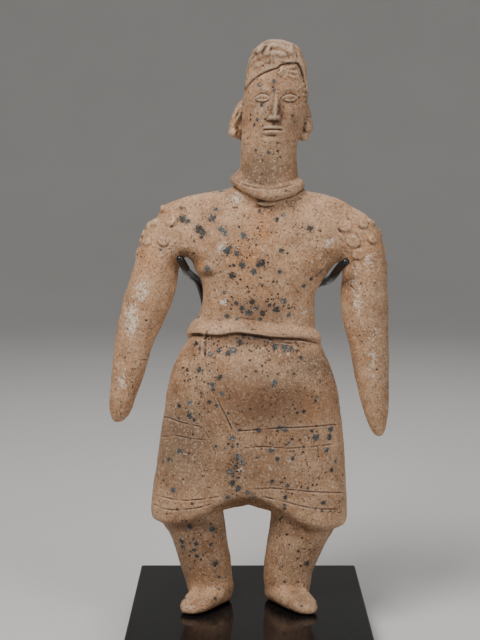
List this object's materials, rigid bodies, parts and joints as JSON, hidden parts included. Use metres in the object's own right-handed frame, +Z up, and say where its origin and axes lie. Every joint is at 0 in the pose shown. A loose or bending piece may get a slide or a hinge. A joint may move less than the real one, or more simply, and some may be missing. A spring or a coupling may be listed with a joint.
{
  "type": "pottery figure",
  "caption": "Hand-modelled standing clay figure in a kilt and wrapped headdress, held under the arms by two bent rods on a polished black base plate.",
  "frame": {"origin": "middle of the base plate's underside", "axes": "+Z up, the figure faces -Y, +X to the viewer's right as seen from the front"},
  "size_m": [0.177, 0.156, 0.3772],
  "materials": {
    "clay": "burnished and weathered, with dark mineral spots",
    "base_plate": "polished",
    "rods": "satin black coating"
  },
  "bodies": {
    "root": {"figure": "clay", "stand_base": "base_plate", "left_support_rod": "rods", "right_support_rod": "rods"}
  },
  "joints": []
}
